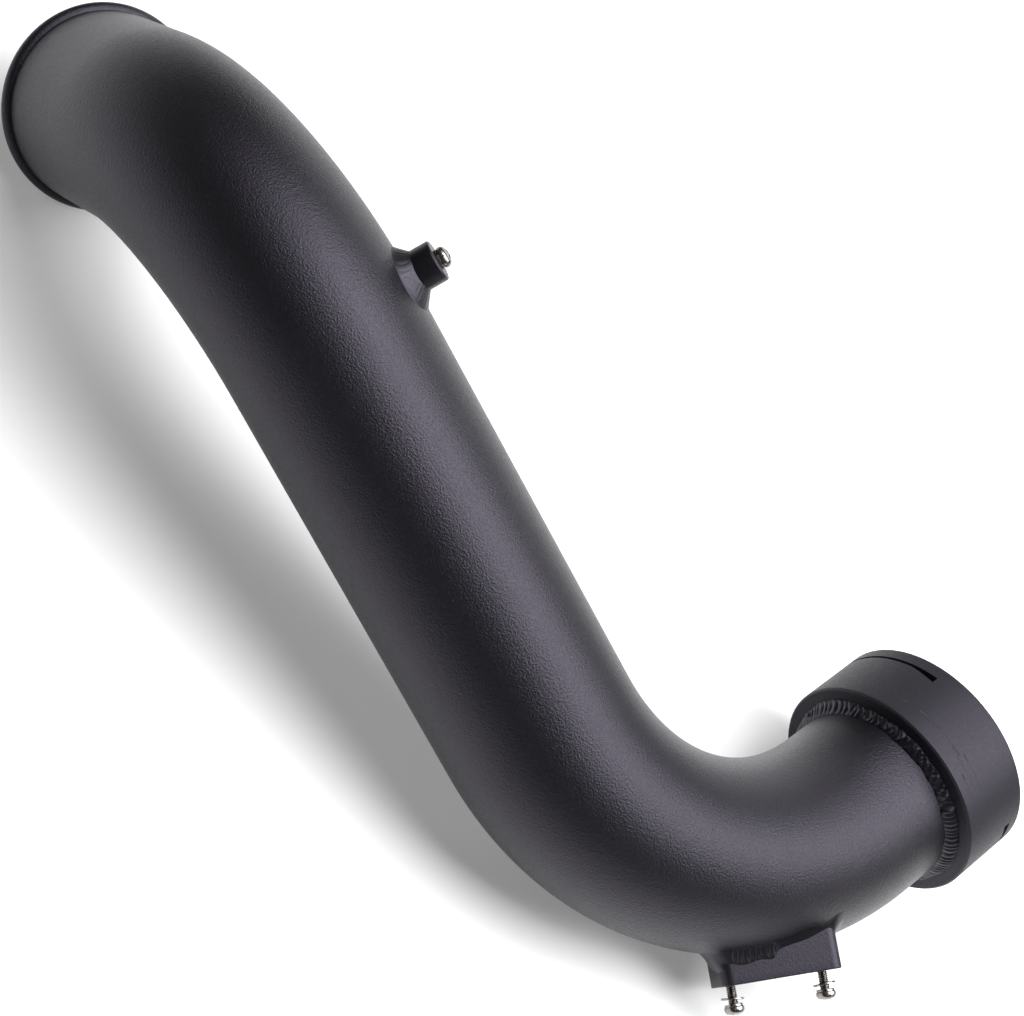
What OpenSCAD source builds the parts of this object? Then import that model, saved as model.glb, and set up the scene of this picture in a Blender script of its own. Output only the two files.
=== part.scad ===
// Welded aluminium charge pipe: a tube with two bends, beaded at one end, with a socket collar
// at the other, a sensor flange on the lower bend and a small threaded boss by the upper one.
// It lies on its side as it comes to rest, with the floor at z = 0.

/* [Tube] */
// Outside diameter of the tube
tube_od = 76.2; // [60:0.1:90]
// Wall thickness of the tube
tube_wall = 2; // [1.5:0.1:3]
// Straight length from the bead to the upper bend
inlet_len = 49.6; // [30:0.1:80]
// Length of tube beyond the middle of the bead
lip_len = 5; // [4:0.5:8]
// Centreline radius of the upper bend
bend1_r = 101.6; // [80:0.1:150]
// Angle of the upper bend
bend1_deg = 71; // [40:0.5:90]
// Straight run between the two bends
run_len = 160.4; // [100:0.1:240]
// Turn of the lower bend's plane about the straight run
twist_deg = 75.9; // [0:0.1:180]
// Centreline radius of the lower bend
bend2_r = 114.3; // [90:0.1:150]
// Angle of the lower bend
bend2_deg = 85.6; // [70:0.1:95]
// Straight length from the lower bend to the back of the collar
outlet_len = 19; // [12:0.5:40]

/* [Rolled bead] */
// Height of the bead above the tube
bead_h = 2.7; // [1.5:0.1:4]
// Radius of the bead's rounded section
bead_section_r = 3; // [2.5:0.1:4]
// Depth of the groove that the rolling leaves inside
bead_groove = 1.8; // [0.5:0.1:2]

/* [Socket collar] */
// Outside diameter of the collar
collar_od = 95.25; // [92:0.05:110]
// Length of the collar
collar_len = 34.1; // [33:0.1:50]
// Diameter of the socket that takes the mating spigot
socket_d = 84; // [80:0.1:88]
// Depth that the tube goes into the back of the collar
tube_seat = 7; // [5:0.5:8]
// Radial gap between tube and collar
seat_gap = 0.05; // [0.02:0.01:0.2]
// Chamfer on the collar's outer edges
collar_chamfer = 0.8; // [0.2:0.1:1.5]
// Lead-in chamfer at the mouth of the socket
mouth_chamfer = 1.2; // [0.5:0.1:2]
// Width of each clip slot at its two ends
slot_w = 3.2; // [2:0.1:4]
// Width of each clip slot between its ends
slot_mid_w = 1.4; // [0.8:0.1:2]
// Length over which each slot widens at an end
slot_flare = 12; // [6:0.5:16]
// Distance from the collar's front edge to the clip slots
slot_from_front = 6.4; // [4:0.1:8]
// Angle that each clip slot takes up
slot_deg = 90; // [40:1:120]
// Direction of one slot's middle from the inside of the lower bend; the other is opposite
slot_turn = 175.4; // [160:0.1:200]

/* [Socket seal] */
// Thickness of the O-ring's cord
seal_section = 3.53; // [2.6:0.01:4]
// Amount that the O-ring stands into the socket
seal_stand = 1.1; // [0.6:0.1:1.5]
// Gap round the O-ring in its groove
seal_gap = 0.1; // [0.05:0.01:0.3]
// Distance from the back of the collar to the middle of the seal groove
seal_from_back = 14; // [12:0.5:18]

/* [Sensor flange] */
// Length of the flange
flange_len = 47.8; // [42:0.1:60]
// Depth of the flange
flange_dep = 27; // [24:0.5:36]
// Radius of the flange's upright corners
flange_corner = 4; // [2:0.5:8]
// Height of the flange's face above the tube
flange_h = 10.3; // [8:0.1:16]
// Place of the flange along the lower bend, from the bend's start
flange_at = 59.8; // [50:0.1:65]
// Roll of the flange round the tube from the outside of the bend
flange_roll = -10.4; // [-20:0.1:20]
// Turn of the flange about its own upright
flange_skew = 25.5; // [0:0.1:35]
// Diameter of the sensor's bore
sensor_d = 19; // [12:0.1:22]
// Distance between the two screw holes
screw_pitch = 37; // [34:0.1:40]
// Depth of the screw holes
flange_hole_dep = 8.5; // [6:0.1:12]

/* [Threaded boss] */
// Diameter of the boss
boss_d = 15.6; // [12:0.1:18]
// Height of the boss's face above the tube
boss_h = 11.7; // [9:0.1:18]
// Chamfer on the boss's outer edge
boss_chamfer = 0.9; // [0.3:0.1:1.5]
// Place of the boss before the end of the upper bend, in degrees of the bend
boss_before = 4.4; // [0:0.1:20]
// Roll of the boss round the tube from the inside of the upper bend
boss_roll = 115.5; // [90:0.1:140]
// Depth of the boss's threaded hole
boss_hole_dep = 9; // [8:0.1:11]

/* [Fasteners] */
// Thread diameter of the screws
screw_d = 4; // [3:0.5:5]
// Radial gap between a screw's thread and its hole
thread_gap = 0.05; // [0.02:0.01:0.1]
// Diameter of a screw head
head_d = 8; // [6:0.1:10]
// Height of a screw head
head_h = 3.1; // [2:0.1:4]
// Width of the cross recess
recess_w = 4.3; // [3:0.1:5]
// Thickness of the cross recess's wings
recess_wing = 0.9; // [0.5:0.1:1.2]
// Depth of the cross recess
recess_dep = 1.7; // [1:0.1:2]
// Length of the flange screws under the head
flange_screw_len = 16; // [12:0.5:20]
// Distance from the flange's face to the heads of the loose screws
head_stand = 8; // [6:0.1:10]
// Length of the boss screw under the head
boss_screw_len = 8; // [6:0.5:10]
// Outside diameter of a flat washer
flat_od = 9; // [8:0.1:12]
// Thickness of a flat washer
flat_t = 0.8; // [0.5:0.1:1.2]
// Distance from the flange's face to the flat washers
flat_stand = 4.6; // [3:0.1:6]
// Outside diameter of a spring washer
spring_od = 7.2; // [6:0.1:9]
// Thickness of a spring washer
spring_t = 1; // [0.8:0.1:1.4]
// Width of a spring washer's split
spring_split = 0.8; // [0.4:0.1:1.5]
// Radial gap between a washer and its screw
washer_gap = 0.15; // [0.1:0.05:0.3]

/* [Welds] */
// Leg of the weld round the tube at the collar
collar_leg = 5; // [3:0.1:6]
// Height of the flange's weld above the tube
flange_leg = 4.5; // [3:0.1:7]
// Flare of the flange's weld at its two ends, down at its foot
flange_end_flare = 10; // [6:0.1:12]
// Flare of the flange's weld along its sides, down at its foot
flange_side_flare = 5; // [3:0.1:7]
// Leg of the weld round the boss
boss_leg = 4; // [3:0.1:6]

/* [Resting attitude] */
// Turns that lay the pipe on the floor, applied about x, then y, then z
rest_turn = [30.66, 32.76, 177]; // [-180:0.01:180]
// Shift that puts the middle of the footprint over the origin and the lowest point on the floor
rest_shift = [216.7, -60.6, 29.92]; // [-500:0.01:500]

/* [Hidden] */
$fn = 96;
saddle_fn = 360;
tube_r = tube_od / 2;
bore_r = tube_r - tube_wall;
collar_r = collar_od / 2;
socket_r = socket_d / 2;
hole_r = screw_d / 2 + thread_gap;
face_r = tube_r + flange_h;
boss_face_r = tube_r + boss_h;
seal_r = socket_r - seal_stand + seal_section / 2;
joint_band = 0.8;
joint_deg = 0.3;
joint_proud = 0.06;
cut = 1;
groove_r = bead_section_r * 0.8;
collar_wall = collar_r - socket_r;
weld_hollow_r = collar_leg * 1.6;
// How far the flange and the boss start inside the tube before the tube is cut out of them
flange_sink = 7;
boss_sink = 6;
flange_foot = tube_r - flange_sink;
boss_foot = tube_r - boss_sink;
skirt_t = 0.1;
boss_weld_lip = 0.2;
boss_weld_past = 5;
// Rounding of a pan head: its crown, its edge and the height of its straight side
crown_r = head_d * 0.9;
edge_r = head_h * 0.8;
edge_z = head_h * 0.3;
side_h = head_h * 0.45;
split_slant = 30;
// Turns of the fasteners about their own axes
boss_screw_turn = 35;
boss_split_turn = 20;
flange_screw_turn = 20;
flange_split_turn = 70;

// Moves its children to the end of a bend that starts at the origin, runs up z and turns towards x.
module after_bend(radius, degrees)
    translate([radius, 0, 0]) rotate([0, degrees, 0]) translate([-radius, 0, 0]) children();

// Sweeps its 2-D children round a bend of the same kind.
module bend(radius, degrees)
    translate([radius, 0, 0]) rotate([90, 0, 180])
        rotate_extrude(angle = degrees) translate([radius, 0]) children();

module at_bend1() translate([0, 0, inlet_len]) children();
module at_run() at_bend1() after_bend(bend1_r, bend1_deg) children();
module at_bend2() at_run() translate([0, 0, run_len]) rotate([0, 0, twist_deg]) children();
module at_outlet() at_bend2() after_bend(bend2_r, bend2_deg) children();
module at_collar() at_outlet() translate([0, 0, outlet_len]) children();

// Stands its children on the tube, with z pointing out of the tube from its centreline.
module radial(roll) rotate([0, 0, roll]) rotate([0, 90, 0]) children();
module at_flange()
    at_bend2() after_bend(bend2_r, flange_at) radial(180 + flange_roll) rotate([0, 0, flange_skew])
        children();
module at_boss() at_bend1() after_bend(bend1_r, bend1_deg - boss_before) radial(boss_roll) children();

// Lays the whole pipe down on the floor.
module at_rest() translate(rest_shift) rotate(rest_turn) children();

module tube_section() {
    difference() {
        circle(r = tube_r);
        circle(r = bore_r);
    }
}

// The beaded end is turned as one profile, from the lip to the start of the upper bend.
module beaded_end() {
    rotate_extrude() difference() {
        union() {
            translate([bore_r, -lip_len]) square([tube_wall, inlet_len + lip_len]);
            intersection() {
                translate([tube_r + bead_h - bead_section_r, 0]) circle(r = bead_section_r, $fn = 48);
                translate([bore_r + tube_wall / 2, -lip_len]) square([tube_wall + bead_h, 2 * lip_len]);
            }
        }
        translate([tube_r + bead_groove - tube_wall - groove_r, 0]) circle(r = groove_r, $fn = 48);
    }
}

// A section that stands slightly proud of the tube, inside and out, to bridge a joint.
module proud_section(proud) {
    difference() {
        circle(r = tube_r + proud);
        circle(r = bore_r - proud);
    }
}

// A thin band round the bend, at an angle from its start.
module bend_band(radius, degrees)
    translate([radius, 0, 0]) rotate([90, 0, 180]) rotate([0, 0, degrees])
        rotate_extrude(angle = joint_deg * 1.5) translate([radius, 0]) proud_section(2 * joint_proud);

// A bent tube that wears a band at its far end.
module bent_tube(radius, degrees) {
    bend(radius, degrees) tube_section();
    bend_band(radius, degrees - joint_deg);
}

// A straight tube that carries on from the end of a bend. It has a band of its own inside the
// bend's, so that the two are one solid, and another where it runs into the next bend.
module run_tube(length, meets_bend) {
    end = meets_bend ? length - joint_band / 2 : length;
    translate([0, 0, joint_band / 2]) linear_extrude(end - joint_band / 2) tube_section();
    translate([0, 0, -joint_band / 4]) linear_extrude(joint_band * 1.25) proud_section(joint_proud);
    if (meets_bend) translate([0, 0, length - joint_band])
        linear_extrude(joint_band * 1.25) proud_section(joint_proud);
}

module pipe_body() {
    beaded_end();
    at_bend1() bent_tube(bend1_r, bend1_deg);
    at_run() run_tube(run_len, true);
    at_bend2() {
        bend_band(bend2_r, -joint_deg / 2);
        bent_tube(bend2_r, bend2_deg);
    }
    at_outlet() run_tube(outlet_len + tube_seat, false);
}

module pipe() color("#2c2b30") difference() {
    pipe_body();
    at_flange() translate([0, 0, tube_r - tube_wall * 4])
        cylinder(d = sensor_d, h = tube_wall * 4 + cut);
}

// One clip slot: a ring sector that goes through the collar's wall and flares at both ends.
module clip_slot(turn) {
    top = collar_len - slot_from_front;
    rotate([0, 0, turn - slot_deg / 2]) rotate_extrude(angle = slot_deg)
        translate([socket_r - cut, top - slot_mid_w])
            square([collar_r - socket_r + 2 * cut, slot_mid_w]);
    for (end = [-1, 1]) rotate([0, 0, turn + end * slot_deg / 2])
        translate([socket_r - collar_wall, 0, top]) rotate([90, 0, 90])
            linear_extrude(2 * collar_wall + cut)
                polygon([[0, 0], [0, -slot_w], [-end * slot_flare, -slot_mid_w], [-end * slot_flare, 0]]);
}

module collar() color("#2a292e") at_collar() difference() {
    rotate_extrude() polygon([
        [tube_r + seat_gap, 0], [collar_r - collar_chamfer, 0],
        [collar_r, collar_chamfer], [collar_r, collar_len - collar_chamfer],
        [collar_r - collar_chamfer, collar_len], [socket_r + mouth_chamfer, collar_len],
        [socket_r, collar_len - mouth_chamfer], [socket_r, tube_seat + seat_gap],
        [tube_r + seat_gap, tube_seat + seat_gap]]);
    rotate_extrude() translate([socket_r - cut, seal_from_back - seal_section / 2 - seal_gap])
        square([seal_section - seal_stand + seal_gap + cut, seal_section + 2 * seal_gap]);
    for (side = [0, 180]) clip_slot(slot_turn + side);
}

module collar_weld() color("#34333a") at_collar() rotate_extrude() difference() {
    translate([tube_r, -collar_leg]) square([collar_leg, collar_leg]);
    translate([tube_r + weld_hollow_r, -weld_hollow_r]) circle(r = weld_hollow_r);
}

module socket_o_ring() color("#151515") at_collar()
    translate([0, 0, seal_from_back]) rotate_extrude() translate([seal_r, 0])
        circle(d = seal_section, $fn = 48);

// A block with rounded upright corners, from height z0 to z1.
module rounded_block(length, depth, corner, z0, z1) translate([0, 0, z0]) {
    for (x = [-1, 1], y = [-1, 1])
        translate([x * (length / 2 - corner), y * (depth / 2 - corner), 0])
            cylinder(r = corner, h = z1 - z0);
    translate([-length / 2 + corner, -depth / 2, 0]) cube([length - 2 * corner, depth, z1 - z0]);
    translate([-length / 2, -depth / 2 + corner, 0]) cube([length, depth - 2 * corner, z1 - z0]);
}

module flange_solid() rounded_block(flange_len, flange_dep, flange_corner, flange_foot, face_r);

// The solid outside of the tube at the lower bend, which saddles what stands on it.
module bend2_outside() at_bend2() bend(bend2_r, bend2_deg, $fn = saddle_fn) circle(r = tube_r);

module at_flange_screws(side) at_flange() translate([side * screw_pitch / 2, 0, face_r]) children();

module sensor_flange() color("#2c2b30") difference() {
    at_flange() flange_solid();
    bend2_outside();
    at_flange() translate([0, 0, flange_foot - cut]) cylinder(d = sensor_d, h = face_r);
    for (side = [-1, 1]) at_flange_screws(side) translate([0, 0, -flange_hole_dep])
        cylinder(r = hole_r, h = flange_hole_dep + cut, $fn = 48);
}

// The weld round the flange is a low skirt that flares out to the tube, further at the ends.
module flange_weld() color("#302f35") difference() {
    at_flange() hull() {
        rounded_block(flange_len + 2 * flange_end_flare, flange_dep + 2 * flange_side_flare,
            flange_corner + flange_side_flare, flange_foot, flange_foot + skirt_t, $fn = 32);
        rounded_block(flange_len, flange_dep, flange_corner, tube_r + flange_leg,
            tube_r + flange_leg + skirt_t, $fn = 32);
    }
    bend2_outside();
    at_flange() flange_solid();
}

module boss_solid() translate([0, 0, boss_foot]) cylinder(d = boss_d, h = boss_h + boss_sink);

// The solid outside of the upper bend, which saddles what stands on it. The weld reaches a little
// past the bend's end, where the straight run still lies within a hair of it, and it is cut back
// there from the run and from the joint's band.
module boss_bend(past) at_bend1() bend(bend1_r, bend1_deg + past, $fn = saddle_fn) circle(r = tube_r);

module boss() color("#242328") difference() {
    at_boss() union() {
        translate([0, 0, boss_foot]) cylinder(d = boss_d, h = boss_h + boss_sink - boss_chamfer);
        translate([0, 0, boss_face_r - boss_chamfer])
            cylinder(d1 = boss_d, d2 = boss_d - 2 * boss_chamfer, h = boss_chamfer);
    }
    boss_bend(0);
    at_boss() translate([0, 0, boss_face_r - boss_hole_dep])
        cylinder(r = hole_r, h = boss_hole_dep + cut, $fn = 48);
}

module boss_weld() color("#3a393f") difference() {
    at_boss() translate([0, 0, boss_foot])
        cylinder(r1 = boss_d / 2 + boss_leg * 2, r2 = boss_d / 2 + boss_weld_lip, h = boss_leg + boss_sink);
    boss_bend(boss_weld_past);
    at_run() translate([0, 0, -joint_band]) cylinder(r = tube_r + 2 * joint_proud, h = boss_d + joint_band);
    at_boss() boss_solid();
}

// A pan-head screw with its bearing face at the origin, its head up z and its thread down z.
module screw(length) difference() {
    rotate_extrude($fn = 64) union() {
        translate([0, -length]) square([screw_d / 2, length]);
        square([head_d / 2, side_h]);
        intersection() {
            square([head_d / 2, head_h]);
            translate([0, head_h - crown_r]) circle(r = crown_r);
            translate([head_d / 2 - edge_r, edge_z]) union() {
                circle(r = edge_r);
                translate([-head_d / 2, 0]) square([head_d / 2, head_h]);
            }
        }
    }
    for (turn = [0, 90]) rotate([0, 0, turn])
        translate([-recess_w / 2, -recess_wing / 2, head_h - recess_dep])
            cube([recess_w, recess_wing, recess_dep + cut]);
}

module washer(od, thickness) rotate_extrude($fn = 64)
    translate([screw_d / 2 + washer_gap, 0]) square([(od - screw_d) / 2 - washer_gap, thickness]);

// A spring washer is a washer with a slanted split through one side.
module split_washer() difference() {
    washer(spring_od, spring_t);
    rotate([split_slant, 0, 0]) translate([0, -spring_split / 2, -spring_t * 2])
        cube([spring_od, spring_split, spring_t * 5]);
}

module boss_screw() color("#c9c8cc") at_boss()
    translate([0, 0, boss_face_r + spring_t]) rotate([0, 0, boss_screw_turn]) screw(boss_screw_len);
module boss_spring_washer() color("#bdbcc0") at_boss()
    translate([0, 0, boss_face_r]) rotate([0, 0, boss_split_turn]) split_washer();

module flange_screw(side) color("#c9c8cc") at_flange_screws(side)
    translate([0, 0, head_stand]) rotate([0, 0, side * flange_screw_turn]) screw(flange_screw_len);
module flat_washer(side) color("#c9c8cc") at_flange_screws(side)
    translate([0, 0, flat_stand]) washer(flat_od, flat_t);
module spring_washer(side) color("#bdbcc0") at_flange_screws(side)
    translate([0, 0, head_stand - spring_t]) rotate([0, 0, side * flange_split_turn]) split_washer();

at_rest() pipe();
at_rest() collar();
at_rest() collar_weld();
at_rest() socket_o_ring();
at_rest() sensor_flange();
at_rest() flange_weld();
at_rest() boss();
at_rest() boss_weld();
at_rest() boss_screw();
at_rest() boss_spring_washer();
at_rest() flange_screw(1);  // flange_screw_a
at_rest() flange_screw(-1);  // flange_screw_b
at_rest() flat_washer(1);  // flat_washer_a
at_rest() flat_washer(-1);  // flat_washer_b
at_rest() spring_washer(1);  // spring_washer_a
at_rest() spring_washer(-1);  // spring_washer_b
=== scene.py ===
import bmesh
import bpy
import math
import numpy as np
from mathutils import Matrix, Vector


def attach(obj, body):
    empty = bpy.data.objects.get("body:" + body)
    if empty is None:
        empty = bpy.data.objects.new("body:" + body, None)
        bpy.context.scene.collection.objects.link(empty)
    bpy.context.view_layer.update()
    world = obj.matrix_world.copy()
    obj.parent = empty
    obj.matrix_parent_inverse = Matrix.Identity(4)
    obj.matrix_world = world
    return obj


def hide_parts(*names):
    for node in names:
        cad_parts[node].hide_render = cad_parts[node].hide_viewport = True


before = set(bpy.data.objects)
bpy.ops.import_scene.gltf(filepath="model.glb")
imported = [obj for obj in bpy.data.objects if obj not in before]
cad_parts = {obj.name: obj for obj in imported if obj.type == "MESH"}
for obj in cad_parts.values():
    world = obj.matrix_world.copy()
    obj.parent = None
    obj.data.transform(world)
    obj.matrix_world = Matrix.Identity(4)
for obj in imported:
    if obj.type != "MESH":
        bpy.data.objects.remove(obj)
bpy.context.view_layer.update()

# A bent and welded aluminium charge pipe, powder-coated black: a rolled bead at one end, a socket
# collar at the other, a sensor flange with two screws on the lower bend and a small threaded boss
# by the upper one. Everything below is worked out in millimetres, and each mesh is brought
# to metres as it is made
perMetre = 1000

# How the pipe runs, from the beaded end to the collar, and how it lies on the floor
layout = {
    "tubeRadius": 38.1,
    "wall": 2.0,
    "lip": 5.0,
    "inlet": 49.6,
    "upperBend": (101.6, 71.0),  # centreline radius, degrees
    "run": 160.4,
    "twist": 75.9,
    "lowerBend": (114.3, 85.6),
    "outlet": 19.0,
    "seat": 7.0,
    "restTurn": (30.66, 32.76, 177.0),
    "restShift": (216.7, -60.6, 29.92),
}
tubeRadius = layout["tubeRadius"]
upperRadius, upperDegrees = layout["upperBend"]
lowerRadius, lowerDegrees = layout["lowerBend"]


# A place is a 3x3 turn and an origin, both in the row frame

def turnAbout(axis, degrees):
    return np.array(Matrix.Rotation(math.radians(degrees), 3, axis))


def placeAt(place, shift=(0, 0, 0), turn=np.eye(3)):
    # Moved along the place's own axes, and then turned
    spin, origin = place
    return spin @ turn, origin + spin @ np.array(shift, float)


def pastBend(place, radius, degrees):
    # Turned about the axis that stands one bend radius off along x
    bent = placeAt(placeAt(place, (radius, 0, 0)), turn=turnAbout("Y", degrees))
    return placeAt(bent, (-radius, 0, 0))


def standingOn(place, roll, skew=0):
    # Turned so that z points straight out of the tube
    return placeAt(place, turn=turnAbout("Z", roll) @ turnAbout("Y", 90) @ turnAbout("Z", skew))


def carried(place, points):
    # Points in the place's own axes, turned and moved into the row frame
    spin, origin = place
    return points @ spin.T + origin


turnX, turnY, turnZ = layout["restTurn"]
restTurn = turnAbout("Z", turnZ) @ turnAbout("Y", turnY) @ turnAbout("X", turnX)
beadPlace = (restTurn, np.array(layout["restShift"]))
upperPlace = placeAt(beadPlace, (0, 0, layout["inlet"]))
runPlace = pastBend(upperPlace, upperRadius, upperDegrees)
lowerPlace = placeAt(runPlace, (0, 0, layout["run"]), turnAbout("Z", layout["twist"]))
outletPlace = pastBend(lowerPlace, lowerRadius, lowerDegrees)
collarPlace = placeAt(outletPlace, (0, 0, layout["outlet"]))

# Each stretch of the centreline: length, place, bend radius (0 where straight), turn of the section
stretches = [
    (layout["inlet"], beadPlace, 0, 0),
    (math.radians(upperDegrees) * upperRadius, upperPlace, upperRadius, 0),
    (layout["run"], runPlace, 0, 0),
    (math.radians(lowerDegrees) * lowerRadius, lowerPlace, lowerRadius, -layout["twist"]),
    (layout["outlet"] + layout["seat"], outletPlace, 0, -layout["twist"]),
]
pipeLength = sum(stretch[0] for stretch in stretches)


def alongPipe(distance):
    # A straight stretch moves along its z; a bend turns about its y by distance over radius
    centre = np.zeros((len(distance), 3))
    sideX = np.zeros((len(distance), 3))
    sideY = np.zeros((len(distance), 3))
    begun = 0.0
    for number, (length, place, radius, turn) in enumerate(stretches):
        first = distance >= begun if number else np.full(len(distance), True)
        here = first & ((distance < begun + length) | (number == len(stretches) - 1))
        gone = distance[here] - begun
        zero = np.zeros_like(gone)
        if radius:
            angle = gone / radius
            local = np.stack([radius * (1 - np.cos(angle)), zero, radius * np.sin(angle)], 1)
            localX = np.stack([np.cos(angle), zero, -np.sin(angle)], 1)
        else:
            local = np.stack([zero, zero, gone], 1)
            localX = np.stack([zero + 1, zero, zero], 1)
        localY = np.stack([zero, zero + 1, zero], 1)
        cosTurn, sinTurn = math.cos(math.radians(turn)), math.sin(math.radians(turn))
        centre[here] = carried(place, local)
        sideX[here] = (localX * cosTurn + localY * sinTurn) @ place[0].T
        sideY[here] = (localY * cosTurn - localX * sinTurn) @ place[0].T
        begun += length
    return centre, sideX, sideY


def tubeDistance(points):
    # Distance to the centreline: across a straight stretch, or from a bend's circle
    nearest = np.full(points.shape[:-1], 1e9)
    for length, (spin, origin), radius, _ in stretches:
        local = (points - origin) @ spin
        if radius:
            outward = radius - local[..., 0]
            angle = np.arctan2(local[..., 2], outward)
            across = np.hypot(np.hypot(outward, local[..., 2]) - radius, local[..., 1])
            held = (angle >= 0) & (angle <= length / radius)
        else:
            across = np.hypot(local[..., 0], local[..., 1])
            held = (local[..., 2] >= 0) & (local[..., 2] <= length)
        nearest = np.where(held & (across < nearest), across, nearest)
    return nearest


search = {"below": 16.0, "above": 8.0, "halvings": 36}  # mm either side of the tube's radius


def tubeTop(place, x, y, sink=0.0):
    # Halves the interval until the height z lies on the tube's surface, sunk by so much
    low = np.full(np.shape(x), tubeRadius - search["below"])
    high = np.full(np.shape(x), tubeRadius + search["above"])
    for _ in range(search["halvings"]):
        middle = (low + high) / 2
        outside = tubeDistance(carried(place, np.stack([x, y, middle], -1))) > tubeRadius - sink
        high = np.where(outside, middle, high)
        low = np.where(outside, low, middle)
    return (low + high) / 2


# Meshes

fineness = {
    "joinWithin": 2e-7,  # metres, under which two points count as one
    "sideShare": 0.499,  # the most of a side that a round corner may take
    "fullRound": 0.9999,  # keeps a corner just short of taking the whole side
    "cornerSteps": 40,
    "flatAngle": 40,  # degrees between two faces, over which their edge is drawn sharp
}


def skin(name, points, ringRows=True, sharpAngle=fineness["flatAngle"]):
    # A grid of points (rows, columns, 3) closed round its columns, and round its rows if they ring
    rows, columns = points.shape[:2]
    index = np.arange(rows * columns).reshape(rows, columns)
    index = np.concatenate([index, index[:, :1]], 1)
    if ringRows:
        index = np.concatenate([index, index[:1]], 0)
    quads = np.stack([index[:-1, :-1], index[:-1, 1:], index[1:, 1:], index[1:, :-1]], -1).reshape(-1, 4)
    mesh = bpy.data.meshes.new(name)
    mesh.vertices.add(rows * columns)
    mesh.vertices.foreach_set("co", (points / perMetre).astype(np.float32).ravel())
    mesh.loops.add(quads.size)
    mesh.loops.foreach_set("vertex_index", quads.astype(np.int32).ravel())
    mesh.polygons.add(len(quads))
    mesh.polygons.foreach_set("loop_start", np.arange(0, quads.size, 4, dtype=np.int32))
    mesh.update(calc_edges=True)
    mesh.validate()
    piece = bpy.data.objects.new(name, mesh)
    bpy.context.scene.collection.objects.link(piece)
    closePoles(mesh, sharpAngle)
    return piece


def closePoles(mesh, sharpAngle):
    # Points that meet are joined, so a row drawn to one spot closes the mesh
    form = bmesh.new()
    form.from_mesh(mesh)
    bmesh.ops.remove_doubles(form, verts=form.verts, dist=fineness["joinWithin"])
    bmesh.ops.recalc_face_normals(form, faces=form.faces)
    form.to_mesh(mesh)
    form.free()
    mesh.shade_smooth()
    mesh.set_sharp_from_angle(angle=math.radians(sharpAngle))


def cutAway(piece, cutters, sharpAngle=fineness["flatAngle"]):
    # The piece less its cutters, worked out exactly
    for cutter in cutters:
        cut = piece.modifiers.new("cut", "BOOLEAN")
        cut.operation = "DIFFERENCE"
        cut.solver = "EXACT"
        cut.object = cutter
    bpy.context.view_layer.update()
    remains = bpy.data.meshes.new_from_object(piece.evaluated_get(bpy.context.evaluated_depsgraph_get()))
    piece.modifiers.clear()
    piece.data = remains
    for cutter in cutters:
        bpy.data.objects.remove(cutter)
    remains.shade_smooth()
    remains.set_sharp_from_angle(angle=math.radians(sharpAngle))


def roundedLoop(corners, radii, steps=6):
    # Each corner becomes an arc tangent to its two sides, and takes at most half of the shorter one
    corners = np.array(corners, float)
    radii = np.broadcast_to(np.array(radii, float), len(corners))
    before = np.roll(corners, 1, 0) - corners
    after = np.roll(corners, -1, 0) - corners
    lengthBefore = np.linalg.norm(before, axis=1)
    lengthAfter = np.linalg.norm(after, axis=1)
    before /= lengthBefore[:, None]
    after /= lengthAfter[:, None]
    half = np.arccos(np.clip((before * after).sum(1), -1, 1)) / 2
    reach = np.minimum(radii / np.tan(half), fineness["sideShare"] * np.minimum(lengthBefore, lengthAfter))
    radius = reach * np.tan(half)
    middle = before + after
    middle /= np.linalg.norm(middle, axis=1)[:, None]
    centre = corners + middle * (radius / np.sin(half))[:, None]
    start = corners + before * reach[:, None] - centre
    end = corners + after * reach[:, None] - centre
    sweep = np.arctan2(start[:, 0] * end[:, 1] - start[:, 1] * end[:, 0], (start * end).sum(1))
    angle = sweep[:, None] * np.linspace(0, 1, steps)
    x = start[:, :1] * np.cos(angle) - start[:, 1:] * np.sin(angle)
    y = start[:, :1] * np.sin(angle) + start[:, 1:] * np.cos(angle)
    return (centre[:, None] + np.stack([x, y], -1)).reshape(-1, 2)


def filledLoop(loop, spacing):
    # Adds points along a closed loop's long sides
    following = np.roll(loop, -1, 0)
    counts = np.maximum(1, np.ceil(np.linalg.norm(following - loop, axis=1) / spacing)).astype(int)
    owner = np.repeat(np.arange(len(loop)), counts)
    share = (np.arange(len(owner)) - np.repeat(np.cumsum(counts) - counts, counts)) / counts[owner]
    return loop[owner] + (following[owner] - loop[owner]) * share[:, None]


def evenOutline(length, depth, corner, count):
    # A rectangle with round corners walked at even steps: points, outward normals, distance gone
    sides = [(-length / 2, -depth / 2), (length / 2, -depth / 2), (length / 2, depth / 2),
             (-length / 2, depth / 2)]
    loop = roundedLoop(sides, corner * fineness["fullRound"], fineness["cornerSteps"])
    closed = np.concatenate([loop, loop[:1]])
    gone = np.concatenate([[0], np.cumsum(np.linalg.norm(np.diff(closed, axis=0), axis=1))])
    steps = np.linspace(0, gone[-1], count, endpoint=False)
    points = np.stack([np.interp(steps, gone, closed[:, axis]) for axis in (0, 1)], 1)
    ahead = np.roll(points, -1, 0) - np.roll(points, 1, 0)
    ahead /= np.linalg.norm(ahead, axis=1)[:, None]
    return points, np.stack([ahead[:, 1], -ahead[:, 0]], 1), steps


def spun(line, columns):
    # A line of (radius, z) turned round the z axis
    angle = np.linspace(0, 2 * math.pi, columns, endpoint=False)
    radius, height = line[:, :1], line[:, 1:]
    return np.stack([radius * np.cos(angle), radius * np.sin(angle), height + 0 * angle], -1)


def turned(name, place, loop, columns):
    # A closed loop of (radius, z) turned all the way round
    return skin(name, carried(place, spun(loop, columns)))


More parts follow.
